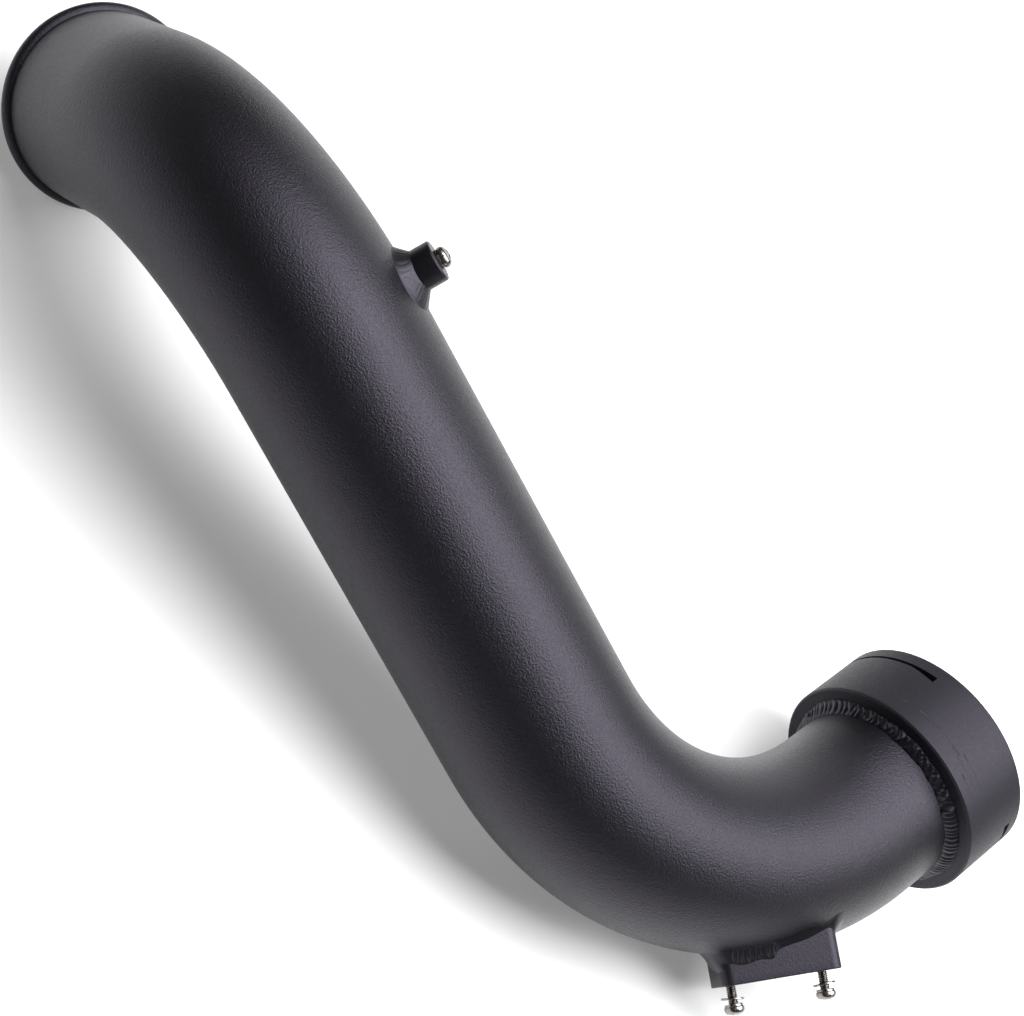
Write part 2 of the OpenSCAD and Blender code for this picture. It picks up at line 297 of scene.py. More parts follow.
def sector(name, place, loop, startDegrees, endDegrees, columns, lift=0.0):
    # The same loop swept part of the way round and lifted as it goes, with both ends closed to a point
    angle = np.radians(np.linspace(startDegrees, endDegrees, columns))[:, None]
    rise = np.linspace(-lift / 2, lift / 2, columns)[:, None]
    radius, height = loop[:, 0], loop[:, 1]
    points = np.stack([radius * np.cos(angle), radius * np.sin(angle), height + rise], -1)
    caps = np.broadcast_to(points[[0, -1]].mean(1, keepdims=True), (2, len(loop), 3))
    points = np.concatenate([caps[:1], points, caps[1:]])
    return skin(name, carried(place, points), False)


def prism(name, place, corners, low, high):
    # Corners in the place's y and z, drawn out along its x
    flat = np.broadcast_to(corners.mean(0), corners.shape)
    rows = [(low, flat), (low, corners), (high, corners), (high, flat)]
    points = np.stack([np.column_stack([np.full(len(row), x), row]) for x, row in rows])
    return skin(name, carried(place, points), False)


def rod(name, place, radius, low, high, columns=96):
    # A line out from the axis, up and back to it, turned all the way round
    edge = np.array([[0, low], [radius, low], [radius, high], [0, high]], float)
    return skin(name, carried(place, spun(edge, columns)), False)


# Materials

def linear(hexColour):
    # The sRGB curve undone: a straight foot, and a power of 2.4 above it
    channels = [int(hexColour[i:i + 2], 16) / 255 for i in (1, 3, 5)]
    return [c / 12.92 if c <= 0.04045 else ((c + 0.055) / 1.055) ** 2.4 for c in channels] + [1]


def addNode(tree, kind, inputs=None, **settings):
    # A setting is an attribute of the node; an input takes a value, or the output socket to link
    node = tree.nodes.new(kind)
    for key, value in settings.items():
        setattr(node, key, value)
    for key, value in (inputs or {}).items():
        if isinstance(value, bpy.types.NodeSocket):
            tree.links.new(value, node.inputs[key])
        else:
            node.inputs[key].default_value = value
    return node


def newMaterial(name):
    material = bpy.data.materials.new(name)
    material.use_nodes = True
    material.node_tree.nodes.clear()
    return material, material.node_tree


coat = {
    "grain": 0.4,  # mm, the powder's fine wrinkle, drawn a little coarse so that it shows
    "mottle": 14.0,  # mm, slow change of tone where the powder lies thicker
    "speck": (0.38, 0.66),  # the grain's heights over which a speck brightens
    "speckTone": 0.7,
    "leastTone": 0.1,
    "sheenSpread": 0.07,  # how much the roughness wanders either way
    "sheenTint": (0.69, 0.635, 0.81, 1.0),
    # Dark and light tone, depth of the grain in mm, roughness
    "tube": ("#09090a", "#141416", 0.27, 0.39),
    # The collar's tones are lighter than the tube's: painted light, so that the collar shows evenly lit
    "collar": ("#0d0d0f", "#17171a", 0.06, 0.55),
    "flange": ("#09090a", "#151518", 0.12, 0.45),
    # The boss's tones are darker than the tube's: painted shade
    "boss": ("#060607", "#0e0e10", 0.05, 0.40),
    "weld": ("#0a0a0b", "#151517", 0.04, 0.42),
}

lathe = {
    "radius": 47.6,
    "ringScale": 1.1,
    "depth": 0.06,
    "scoreWeight": -22.0,  # how many times deeper than a ring a score is cut
    "fullShare": 0.6,  # share of a score's half angle that is cut to full depth
    # Place along the axis in mm, half width in mm, direction round it and half angle in degrees
    "scores": [(8.8, 0.3, 62, 14), (7.6, 0.24, 80, 14), (11.0, 0.24, 86, 9), (5.2, 0.2, 92, 8),
               (8.4, 0.16, 46, 8)],
}


def turningMarks(tree, where, place):
    # The lathe's fine rings round the place's axis, and a few short deeper scores
    spin, origin = place
    moved = addNode(tree, "ShaderNodeVectorMath", {0: where, 1: tuple(origin / perMetre)},
                    operation="SUBTRACT")

    def along(direction):
        inMillimetres = tuple(spin @ np.array(direction, float) * perMetre)
        return addNode(tree, "ShaderNodeVectorMath", {0: moved.outputs[0], 1: inMillimetres},
                       operation="DOT_PRODUCT").outputs["Value"]

    height = along((0, 0, 1))
    rings = addNode(tree, "ShaderNodeTexNoise", {
        "W": height, "Scale": lathe["ringScale"], "Detail": 4.0, "Roughness": 0.75},
        noise_dimensions="1D").outputs["Fac"]
    for at, half, middle, spread in lathe["scores"]:
        turn = math.radians(middle)
        shut, full = math.radians(spread), math.radians(spread * lathe["fullShare"])
        sideways = along((math.cos(turn), math.sin(turn), 0))
        off = addNode(tree, "ShaderNodeMath", {0: height, 1: at, 2: half}, operation="COMPARE").outputs[0]
        near = addNode(tree, "ShaderNodeMapRange", {
            "Value": sideways, "From Min": lathe["radius"] * math.cos(shut),
            "From Max": lathe["radius"] * math.cos(full)}).outputs["Result"]
        score = addNode(tree, "ShaderNodeMath", {0: off, 1: near}, operation="MULTIPLY").outputs[0]
        rings = addNode(tree, "ShaderNodeMath", {0: score, 1: lathe["scoreWeight"], 2: rings},
                        operation="MULTIPLY_ADD").outputs[0]
    return rings


def powderCoat(name, finish, turnedAt=None):
    # Polyester powder baked on aluminium: black with a violet cast, a fine grain that scatters
    # the light into a broad soft sheen, and here and there a brighter speck
    dark, light, grainDepth, roughness = finish
    spread = coat["sheenSpread"]
    material, tree = newMaterial(name)
    where = addNode(tree, "ShaderNodeTexCoord").outputs["Object"]
    grain = addNode(tree, "ShaderNodeTexNoise", {
        "Vector": where, "Scale": perMetre / coat["grain"] / 2, "Detail": 3.0, "Roughness": 0.6})
    mottle = addNode(tree, "ShaderNodeTexNoise", {
        "Vector": where, "Scale": perMetre / coat["mottle"], "Detail": 3.0, "Roughness": 0.5})
    speck = addNode(tree, "ShaderNodeMapRange", {
        "Value": grain.outputs["Fac"], "From Min": coat["speck"][0], "From Max": coat["speck"][1],
        "To Min": 0.0, "To Max": coat["speckTone"]})
    tone = addNode(tree, "ShaderNodeMath", {
        0: speck.outputs["Result"], 1: mottle.outputs["Fac"], 2: coat["leastTone"]},
        operation="MULTIPLY_ADD")
    colour = addNode(tree, "ShaderNodeMix", {
        "Factor": tone.outputs[0], 6: linear(dark), 7: linear(light)}, data_type="RGBA")
    sheen = addNode(tree, "ShaderNodeMapRange", {
        "Value": grain.outputs["Fac"], "From Min": 0.3, "From Max": 0.7,
        "To Min": roughness + spread, "To Max": roughness - spread})
    bump = addNode(tree, "ShaderNodeBump", {
        "Height": grain.outputs["Fac"], "Strength": 1.0, "Distance": grainDepth / perMetre})
    if turnedAt:
        bump = addNode(tree, "ShaderNodeBump", {
            "Height": turningMarks(tree, where, turnedAt), "Strength": 1.0,
            "Distance": lathe["depth"] / perMetre, "Normal": bump.outputs["Normal"]})
    surface = addNode(tree, "ShaderNodeBsdfPrincipled", {
        "Base Color": colour.outputs[2], "Roughness": sheen.outputs["Result"],
        "Normal": bump.outputs["Normal"], "IOR": 1.5, "Specular Tint": coat["sheenTint"]})
    addNode(tree, "ShaderNodeOutputMaterial", {"Surface": surface.outputs[0]})
    return material


plating = {
    "cloud": 1.6,  # mm, patches where the zinc is duller
    "pores": 0.25,  # mm
    "poreDepth": 0.03,
    "dark": "#6c6865",
    "light": "#a5a19d",
    "roughness": (0.18, 0.34),
}


def platedSteel():
    # Zinc plated steel: bright and slightly warm, with fine pores and cloudy patches
    material, tree = newMaterial("zincPlatedSteel")
    where = addNode(tree, "ShaderNodeTexCoord").outputs["Object"]
    cloud = addNode(tree, "ShaderNodeTexNoise", {
        "Vector": where, "Scale": perMetre / plating["cloud"], "Detail": 4.0})
    pores = addNode(tree, "ShaderNodeTexNoise", {
        "Vector": where, "Scale": perMetre / plating["pores"], "Detail": 2.0})
    colour = addNode(tree, "ShaderNodeMix", {
        "Factor": cloud.outputs["Fac"], 6: linear(plating["dark"]), 7: linear(plating["light"])},
        data_type="RGBA")
    sheen = addNode(tree, "ShaderNodeMapRange", {
        "Value": cloud.outputs["Fac"], "From Min": 0.3, "From Max": 0.7,
        "To Min": plating["roughness"][0], "To Max": plating["roughness"][1]})
    bump = addNode(tree, "ShaderNodeBump", {
        "Height": pores.outputs["Fac"], "Strength": 0.4, "Distance": plating["poreDepth"] / perMetre})
    surface = addNode(tree, "ShaderNodeBsdfPrincipled", {
        "Base Color": colour.outputs[2], "Metallic": 1.0, "Roughness": sheen.outputs["Result"],
        "Normal": bump.outputs["Normal"]})
    addNode(tree, "ShaderNodeOutputMaterial", {"Surface": surface.outputs[0]})
    return material


moulding = {"bloom": 3.0, "depth": 0.02, "dark": "#101010", "light": "#232323", "roughness": 0.62}


def sealRubber():
    # Moulded nitrile rubber: matt black with a dusty bloom
    material, tree = newMaterial("nitrileRubber")
    where = addNode(tree, "ShaderNodeTexCoord").outputs["Object"]
    bloom = addNode(tree, "ShaderNodeTexNoise", {
        "Vector": where, "Scale": perMetre / moulding["bloom"], "Detail": 5.0})
    colour = addNode(tree, "ShaderNodeMix", {
        "Factor": bloom.outputs["Fac"], 6: linear(moulding["dark"]), 7: linear(moulding["light"])},
        data_type="RGBA")
    bump = addNode(tree, "ShaderNodeBump", {
        "Height": bloom.outputs["Fac"], "Strength": 0.5, "Distance": moulding["depth"] / perMetre})
    surface = addNode(tree, "ShaderNodeBsdfPrincipled", {
        "Base Color": colour.outputs[2], "Roughness": moulding["roughness"],
        "Normal": bump.outputs["Normal"]})
    addNode(tree, "ShaderNodeOutputMaterial", {"Surface": surface.outputs[0]})
    return material


tubeCoat = powderCoat("powderCoatOnTube", coat["tube"])
# The collar's coat is the tube's with lighter tones, painted light
turnedCoatPaintedLighter = powderCoat("powderCoatOnTurnedCollarPaintedLighter", coat["collar"], collarPlace)
milledCoat = powderCoat("powderCoatOnMilledFlange", coat["flange"])
# The boss's coat is the tube's with darker tones, painted shade
bossCoatPaintedShade = powderCoat("powderCoatOnBossPaintedShade", coat["boss"])
weldCoat = powderCoat("powderCoatOnWeld", coat["weld"])
steel = platedSteel()
rubber = sealRubber()
print("materials made")


def finished(piece, node, material):
    piece.data.materials.clear()
    piece.data.materials.append(material)
    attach(piece, "root")
    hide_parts(node)
    print(piece.name, len(piece.data.polygons), "faces")


# The bent tube with its rolled bead

bead = {
    "height": 2.7,
    "section": 3.0,
    "groove": 1.8,
    "grooveSection": 2.4,
    "toe": 0.5,  # how softly the bead runs out into the tube
    "near": 6.0,  # mm from the bead's crest within which the rows lie close
    "rowGap": 0.2,
    "outerRows": (250, 70),  # along the tube, and near the bead
    "innerRows": (140, 36),
    "lipEdge": 0.5,
    "lipSteps": 6,
    "columns": 168,
}


def softMax(a, b, blend):
    # The larger of two heights, with a round inside corner of about the blend's size
    share = np.clip(0.5 + 0.5 * (a - b) / blend, 0, 1)
    return b + (a - b) * share + blend * share * (1 - share)


def roundedBump(distance, radius, section, height):
    # A circle's cap standing on the radius: the section's arc, softened where it meets the tube. The
    # softening lifts the plain tube by a quarter of the toe, which comes off again away from the bead
    arc = np.sqrt(np.maximum(section ** 2 - distance ** 2, 0))
    return softMax(radius + height - section + arc, radius + 0 * arc, bead["toe"]) - bead["toe"] / 4 * (
        np.abs(distance) > 2 * section)


def makePipe():
    # Rows run up the outside from the collar, over the lip's round edge and back down the bore
    edge, near, gap = bead["lipEdge"], bead["near"], bead["rowGap"]
    quarter = np.linspace(0, math.pi / 2, bead["lipSteps"])
    innerRadius = tubeRadius - layout["wall"]
    lipEnd = edge - layout["lip"]
    wideRows, nearRows = bead["outerRows"]
    outer = np.concatenate([np.linspace(pipeLength, near, wideRows),
                            np.linspace(near - gap, lipEnd + gap, nearRows)])
    outerBump = roundedBump(outer, tubeRadius, bead["section"], bead["height"])
    outerRadius = np.where(np.abs(outer) < near, outerBump, tubeRadius)
    wideRows, nearRows = bead["innerRows"]
    inner = np.concatenate([np.linspace(lipEnd + gap, near - gap, nearRows),
                            np.linspace(near + gap, pipeLength, wideRows)])
    innerBump = roundedBump(inner, innerRadius, bead["grooveSection"], bead["groove"])
    innerHeight = np.where(np.abs(inner) < near, innerBump, innerRadius)
    lipDistance = np.concatenate([lipEnd - edge * np.sin(quarter), lipEnd - edge * np.cos(quarter)])
    lipRadius = np.concatenate([tubeRadius - edge + edge * np.cos(quarter),
                                innerRadius + edge - edge * np.sin(quarter)])
    distance = np.concatenate([outer, lipDistance, inner])
    radius = np.concatenate([outerRadius, lipRadius, innerHeight])[:, None, None]
    centre, sideX, sideY = alongPipe(distance)
    angle = np.linspace(0, 2 * math.pi, bead["columns"], endpoint=False)[None, :, None]
    points = centre[:, None] + radius * (np.cos(angle) * sideX[:, None] + np.sin(angle) * sideY[:, None])
    return skin("tubeWithRolledBead", points)


flange = {
    "length": 47.8,
    "depth": 27.0,
    "corner": 4.0,
    "height": 10.3,
    "at": 59.8,
    "roll": -10.4,
    "skew": 25.5,
    "sensor": 19.0,
    "pitch": 37.0,
    "holeDepth": 8.5,
    "holeRadius": 2.05,
    "edge": 0.5,
    "columns": 320,
    "boreColumns": 120,
    "holeColumns": 48,
}
# How far a drill reaches past what it cuts: inside and outside the tube, under the flange, in air
overcut = {"inside": 10.0, "outside": 5.0, "under": 12.0, "above": 3.0}
flangePlace = standingOn(pastBend(lowerPlace, lowerRadius, flange["at"]), 180 + flange["roll"],
                         flange["skew"])
pipePiece = makePipe()
cutAway(pipePiece, [rod("sensorDrill", flangePlace, flange["sensor"] / 2, tubeRadius - overcut["inside"],
                        tubeRadius + overcut["outside"])])
finished(pipePiece, "pipe", tubeCoat)


# The turned collar: seal groove, clip slots and the lines that the lathe left

collar = {
    "radius": 47.625,
    "length": 34.1,
    "socket": 42.0,
    "seatGap": 0.05,
    "chamfer": 0.8,
    "mouth": 1.2,
    "edge": 0.25,
    "edgeSteps": 4,
    "slotWidth": 3.2,
    "slotMiddleWidth": 1.4,
    "slotFlare": 12.0,
    "slotFromFront": 6.4,
    "slotDegrees": 90.0,
    "slotTurn": 175.4,
    "slotCutter": (1.0, 1.0),  # how far it reaches past the wall, inside and outside
    "flareCutter": (5.0, 2.0),
    "sealAt": 14.0,
    "sealSection": 3.53,
    "sealStand": 1.1,
    "sealGap": 0.1,
    "sealSteps": 32,
    "sealColumns": 200,
    "columns": 288,
    "slotColumns": 90,
    "spacing": 0.9,  # between points of the profile, and of the slot's
    "slotSpacing": 2.0,
    "sharpAngle": 30,
}


def makeCollar():
    # A closed profile with round corners, turned round the collar's axis. Each clip slot is a ring
    # sector, thin in the middle, with a wedge that flares towards either end
    seat = layout["seat"] + collar["seatGap"]
    bore = tubeRadius + collar["seatGap"]
    radius, length, socket = collar["radius"], collar["length"], collar["socket"]
    halfGroove = collar["sealSection"] / 2 + collar["sealGap"]
    grooveRadius = socket + collar["sealSection"] - collar["sealStand"] + collar["sealGap"]
    chamfer, mouth = collar["chamfer"], collar["mouth"]
    corners = [
        (bore, 0), (radius - chamfer, 0), (radius, chamfer), (radius, length - chamfer),
        (radius - chamfer, length), (socket + mouth, length), (socket, length - mouth),
        (socket, collar["sealAt"] + halfGroove), (grooveRadius, collar["sealAt"] + halfGroove),
        (grooveRadius, collar["sealAt"] - halfGroove), (socket, collar["sealAt"] - halfGroove),
        (socket, seat), (bore, seat)]
    loop = filledLoop(roundedLoop(corners, collar["edge"], collar["edgeSteps"]), collar["spacing"])
    piece = turned("turnedCollar", collarPlace, loop, collar["columns"])
    slotTop = length - collar["slotFromFront"]
    slotLow = slotTop - collar["slotMiddleWidth"]
    inner, outer = socket - collar["slotCutter"][0], radius + collar["slotCutter"][1]
    slotLoop = filledLoop(np.array([(inner, slotLow), (outer, slotLow), (outer, slotTop), (inner, slotTop)],
                                   float), collar["slotSpacing"])
    half, flare = collar["slotDegrees"] / 2, collar["slotFlare"]
    cutters = []
    for middle in (collar["slotTurn"], collar["slotTurn"] + 180):
        cutters.append(sector("slotCutter", collarPlace, slotLoop, middle - half, middle + half,
                              collar["slotColumns"]))
        for end in (-1, 1):
            wedge = np.array([(0, slotTop), (0, slotTop - collar["slotWidth"]),
                              (-end * flare, slotLow), (-end * flare, slotTop)], float)
            turn = placeAt(collarPlace, (0, 0, 0), turnAbout("Z", middle + end * half))
            cutters.append(prism("slotFlareCutter", turn, wedge, socket - collar["flareCutter"][0],
                                 radius + collar["flareCutter"][1]))
    cutAway(piece, cutters, collar["sharpAngle"])
    return piece


def makeSeal():
    # A small circle turned round the collar's axis
    section = collar["sealSection"] / 2
    middle = collar["socket"] - collar["sealStand"] + section
    angle = np.linspace(0, 2 * math.pi, collar["sealSteps"], endpoint=False)
    loop = np.stack([middle + section * np.cos(angle), collar["sealAt"] + section * np.sin(angle)], 1)
    return turned("sealingRing", collarPlace, loop, collar["sealColumns"])


finished(makeCollar(), "collar", turnedCoatPaintedLighter)
finished(makeSeal(), "socket_o_ring", rubber)


# Welds: each is a fillet whose crest is a row of overlapping coins

weld = {
    "sink": 0.8,  # how far the bead reaches into the metal under it
    "sharpAngle": 60,
    "coinFlatness": 0.7,  # power that a coin's sine is raised to
}

# A wave along a bead: how strong, radians for each mm, start, and radians more across the bead
coinWaver = [(0.22, 0.31, 0, 0), (0.14, 0.83, 1.3, 0)]


def waves(table, along, across=0.0):
    # The sum of each wave's strength times its sine
    return sum(strength * np.sin(along * rate + slant * across + start)
               for strength, rate, start, slant in table)


def softStep(value, at, width):
    # Rises from 0 to 1 over about the width
    return 1 / (1 + np.exp(-(value - at) / width * 4))


def bell(value, height, at, width):
    # The height times e to the power of minus the squared distance, counted in widths
    return height * np.exp(-((value - at) / width) ** 2)


def coins(along, across, beat, lag):
    # Round tops and sharp valleys: the sine of the beat, taken as positive and flattened; the
    # phase lags towards both toes, so each coin is a crescent
    phase = beat + waves(coinWaver, along) + lag * (2 * across - 1) ** 2
    return np.abs(np.sin(math.pi * phase)) ** weld["coinFlatness"]


collarBead = {
    "leg": 4.4,
    "pitch": 3.0,
    "ripple": 0.7,
    "bulge": 0.45,
    "lag": 0.45,
    "crown": 0.7,  # power of the sine that rounds the bead across, lower is fuller
    "start": 336.0,  # degrees round the collar where the bead starts and ends
    # Degrees after the start where each change comes, and over how many degrees
    "lumpyFrom": (34.0, 10.0),
    "lumpyTo": (123.0, 2.0),
    "fineFrom": (123.0, 1.5),
    "fineTo": (300.0, 20.0),
    # Shares by which the lumpy part and the fine part fall short of the rest
    "lumpyThinner": 0.16,
    "lumpyFlatter": 0.35,
    "fineFlatter": 0.15,
    "fineShorter": 0.28,
    "wander": [(0.05, 0.21, 0, 0), (0.04, 0.57, 2, 0)],
    "lumps": [(0.5, 0.9, 0, 3), (0.35, 1.7, 1, -5), (0.25, 2.9, 2, 7)],
    "lumpHeight": 0.4,
    "crater": 1.9,
    # Bells over the crater's radius: height in mm, and place and width in crater radii
    "craterRim": (0.45, 1.0, 0.3),
    "craterPit": (-0.9, 0.0, 0.55),
    "craterClear": 1.2,  # crater radii within which there are no coins
    "slope": 1.3,  # legs across the bead's face
    # Bells along the bead where it is taken up again: height, place and width in mm
    "takenUpRise": (0.7, 1.1, 0.9),
    "takenUpDip": (-0.7, -0.9, 0.7),
    "middle": 2.0,  # outside the tube, where lengths along the bead are taken
    "sunkAtMost": 0.2,
    "under": 0.9,  # how much of the leg the bead's underside reaches
    "columns": 1500,
    "rows": 25,
    "underRows": 6,
}


def makeCollarWeld():
    # The bead starts at a crater, runs lumpy and thin for a quarter of the way, and is taken up
    # again at a notch, from where its coins are finer
    angle = np.linspace(0, 2 * math.pi, collarBead["columns"], endpoint=False)
    past = (np.degrees(angle) - collarBead["start"]) % 360
    fromStart = (past + 180) % 360 - 180
    lumpy = softStep(past, *collarBead["lumpyFrom"]) - softStep(past, *collarBead["lumpyTo"])
    fine = softStep(past, *collarBead["fineFrom"]) * (1 - softStep(past, *collarBead["fineTo"]))
    along = angle * (tubeRadius + collarBead["middle"])
    across = np.linspace(0, 1, collarBead["rows"])[:, None]
    leg = collarBead["leg"] * (1 - collarBead["lumpyThinner"] * lumpy + waves(collarBead["wander"], along))
    pitch = collarBead["pitch"] * (1 - collarBead["fineShorter"] * fine)
    beat = np.cumsum((along[1] - along[0]) / pitch)
    beat = beat * round(beat[-1]) / beat[-1]
    ripple = collarBead["ripple"] * (1 - collarBead["lumpyFlatter"] * lumpy
                                     - collarBead["fineFlatter"] * fine)
    sideways = (across - 0.5) * collarBead["leg"] * collarBead["slope"]
    ring = np.hypot(np.radians(fromStart) * tubeRadius, sideways) / collarBead["crater"]
    tail = np.radians(past - collarBead["fineFrom"][0]) * tubeRadius
    marks = bell(ring, *collarBead["craterRim"]) + bell(ring, *collarBead["craterPit"])
    marks = marks + bell(tail, *collarBead["takenUpRise"]) + bell(tail, *collarBead["takenUpDip"])
    lumps = collarBead["lumpHeight"] * lumpy * waves(collarBead["lumps"], along, across)
    stacked = coins(along, across, beat, collarBead["lag"]) - 0.5
    swell = collarBead["bulge"] + ripple * stacked * (ring > collarBead["craterClear"])
    swell = (swell + lumps + marks) * np.sin(math.pi * across) ** collarBead["crown"]
    slope = math.pi / 4
    radius = np.maximum(tubeRadius + leg * (1 - across) + swell * math.sin(slope),
                        tubeRadius - collarBead["sunkAtMost"])
    height = np.minimum(-leg * across - swell * math.cos(slope), 0)
    # The rows come back underneath, inside the tube's wall and the collar's
    sink, reach = weld["sink"], collarBead["under"]
    under = np.linspace(1, 0, collarBead["underRows"])[:, None]
    radius = np.concatenate([radius, tubeRadius - sink + leg * (1 - under) * reach])
    height = np.concatenate([height, -leg * under * reach + sink * (1 - under)])
    points = np.stack([radius * np.cos(angle), radius * np.sin(angle), height], -1)
    return skin("collarWeldBead", carried(collarPlace, points), True, weld["sharpAngle"])


fillet = {
    "hollow": 1.7,  # power that the height falls with, higher is more concave
    "spread": 1.1,  # power that the rows move outwards with
    "crown": 0.8,
    "lag": 0.4,
    "coinMean": 0.4,  # taken off a coin's height, so that ripples neither add nor remove much
    "rows": 19,
    "underRows": 5,
}


def filletRound(name, place, outline, height, flare, pitch, ripple, bulge):
    # Rows go from the standing wall down to the tube and back underneath: the height falls with a
    # power of the share gone across, and the outward reach grows with another
    points, normals, along = outline
    across = np.linspace(0, 1, fillet["rows"])[:, None]
    lift = height * (1 - across) ** fillet["hollow"] + bulge * np.sin(math.pi * across)
    crest = np.sin(math.pi * across) ** fillet["crown"]
    stacked = coins(along, across, along / pitch, fillet["lag"]) - fillet["coinMean"]
    lift = lift + ripple * stacked * crest
    away = flare * across ** fillet["spread"] + 0 * along
    sink = weld["sink"]
    under = np.linspace(1, 0, fillet["underRows"])[:, None]
    lift = np.concatenate([lift, -sink + 0 * under + 0 * along])
    away = np.concatenate([away, flare * under - sink * (1 - under) + 0 * along])
    lift[0] = height
    x = points[:, 0] + normals[:, 0] * away
    y = points[:, 1] + normals[:, 1] * away
    z = tubeTop(place, x, y) + lift
    return skin(name, carried(place, np.stack([x, y, z], -1)), True, weld["sharpAngle"])


finished(makeCollarWeld(), "collar_weld", weldCoat)


# Blocks that stand on the tube

block = {"footRows": 12, "wallRows": 6, "footSunk": 1.0}


def standOff(name, place, outline, top, edge, sharpAngle=fineness["flatAngle"]):
    # A block with this outline: its foot follows the tube inside its wall, its top is flat
    points, normals, along = outline
    footRows, wallRows = block["footRows"], block["wallRows"]
    quarter = np.linspace(0, math.pi / 2, wallRows)
    inset = edge * (1 - np.cos(quarter))
    rise = edge * np.sin(quarter) - edge
    shrink = np.linspace(1, 0, footRows)
    foot = np.concatenate([1 - shrink, np.full(wallRows, 1.0)])[:, None]
    x = points[:, 0] * foot
    y = points[:, 1] * foot
    footZ = tubeTop(place, x, y, block["footSunk"])
    climb = np.concatenate([np.zeros(footRows), np.linspace(0, 1, wallRows)])[:, None]
    z = footZ + (top - edge - footZ) * climb
    roundX = points[:, 0] - normals[:, 0] * inset[1:, None]
    roundY = points[:, 1] - normals[:, 1] * inset[1:, None]
    roundZ = top + rise[1:, None] + 0 * roundX
    lidX, lidY = roundX[-1] * shrink[1:, None], roundY[-1] * shrink[1:, None]
    x = np.concatenate([x, roundX, lidX])
    y = np.concatenate([y, roundY, lidY])
    z = np.concatenate([z, roundZ, top + 0 * lidX])
    return skin(name, carried(place, np.stack([x, y, z], -1)), False, sharpAngle)


def makeFlange():
    # The block on the tube, less the sensor's bore and two screw holes
    outline = evenOutline(flange["length"], flange["depth"], flange["corner"], flange["columns"])
    top = tubeRadius + flange["height"]
    piece = standOff("sensorFlangeBlock", flangePlace, outline, top, flange["edge"])
    drills = [rod("boreDrill", flangePlace, flange["sensor"] / 2, tubeRadius - overcut["under"],
                  top + overcut["above"], flange["boreColumns"])]
    for side in (-1, 1):
        hole = placeAt(flangePlace, (side * flange["pitch"] / 2, 0, top))
        drills.append(rod("screwDrill", hole, flange["holeRadius"], -flange["holeDepth"], overcut["above"],
                          flange["holeColumns"]))
    cutAway(piece, drills)
    return piece


# Heights and reaches in mm: tall and concave at one end, low at the other, and on the near side
# thin first and then a row of lumps
flangeBead = {
    "tallEnd": (7.0, 6.5),  # height, reach
    "lowEnd": (3.0, 5.0),
    "thinSide": (1.4, 2.2),
    "lumpySide": (4.4, 3.8),
    "farSide": (3.52, 4.0),
    "endFrom": (0.55, 0.5),  # outward normal's x at which an end begins, and over how much
    "nearFrom": (0, 0.2),
    "lumpyFrom": (1.5, 2.5),  # mm along the flange
    "wander": [(0.12, 0.47, 1.1, 0)],
    "pitch": 2.6,
    "ripple": 1.3,
    "leastRipple": 0.1,
    "farRipple": 0.5,  # share of the near side's
    "bulge": 0.5,
    "leastBulge": 0.1,
    "columns": 700,
}


def makeFlangeWeld():
    # Each side's and end's height and reach, mixed by soft steps on which way the wall faces
    outline = evenOutline(flange["length"], flange["depth"], flange["corner"], flangeBead["columns"])
    points, normals, along = outline
    tallEnd = softStep(normals[:, 0], *flangeBead["endFrom"])
    lowEnd = softStep(-normals[:, 0], *flangeBead["endFrom"])
    side = 1 - tallEnd - lowEnd
    near = softStep(-normals[:, 1], *flangeBead["nearFrom"])
    lumpy = softStep(points[:, 0], *flangeBead["lumpyFrom"])
    (thinHeight, thinFlare), (lumpyHeight, lumpyFlare) = flangeBead["thinSide"], flangeBead["lumpySide"]
    (tallHeight, tallFlare), (lowHeight, lowFlare) = flangeBead["tallEnd"], flangeBead["lowEnd"]
    farHeight, farFlare = flangeBead["farSide"]
    sideHeight = near * (thinHeight + (lumpyHeight - thinHeight) * lumpy) + (1 - near) * farHeight
    sideFlare = near * (thinFlare + (lumpyFlare - thinFlare) * lumpy) + (1 - near) * farFlare
    height = (tallEnd * tallHeight + lowEnd * lowHeight
              + side * sideHeight * (1 + waves(flangeBead["wander"], along)))
    flare = tallEnd * tallFlare + lowEnd * lowFlare + side * sideFlare
    ripple = (flangeBead["ripple"] * side * (near * lumpy + flangeBead["farRipple"] * (1 - near))
              + flangeBead["leastRipple"])
    bulge = flangeBead["leastBulge"] + flangeBead["bulge"] * side * (near * lumpy + 1 - near)
    return filletRound("flangeWeldBead", flangePlace, outline, height, flare, flangeBead["pitch"],
                       ripple, bulge)


finished(makeFlange(), "sensor_flange", milledCoat)
finished(makeFlangeWeld(), "flange_weld", weldCoat)


# The threaded boss by the upper bend

boss = {
    "radius": 7.8,
    "height": 11.7,
    "before": 4.4,
    "roll": 115.5,
    "edge": 0.9,
    "holeDepth": 9.0,
    "holeRadius": 2.05,
    "columns": 128,
    "holeColumns": 48,
    "sharpAngle": 50,
}
bossPlace = standingOn(pastBend(upperPlace, upperRadius, upperDegrees - boss["before"]), boss["roll"])


def makeBoss():
    # A round block on the tube, less its threaded hole
    size = 2 * boss["radius"]
    top = tubeRadius + boss["height"]
    outline = evenOutline(size, size, boss["radius"], boss["columns"])
    piece = standOff("threadedBoss", bossPlace, outline, top, boss["edge"], boss["sharpAngle"])
    drill = rod("bossDrill", bossPlace, boss["holeRadius"], top - boss["holeDepth"],
                top + overcut["above"], boss["holeColumns"])
    cutAway(piece, [drill], boss["sharpAngle"])
    return piece


bossBead = {
    "leg": 4.2,
    "flare": 4.2,
    "downhill": 0.35,  # how much further the bead reaches on the lower side
    "legWander": [(0.06, 0.27, 0, 0)],
    "flareWander": [(0.08, 0.27, 2, 0)],
    "pitch": 1.7,
    "ripple": 0.16,
    "bulge": 0.7,
    "columns": 300,
}


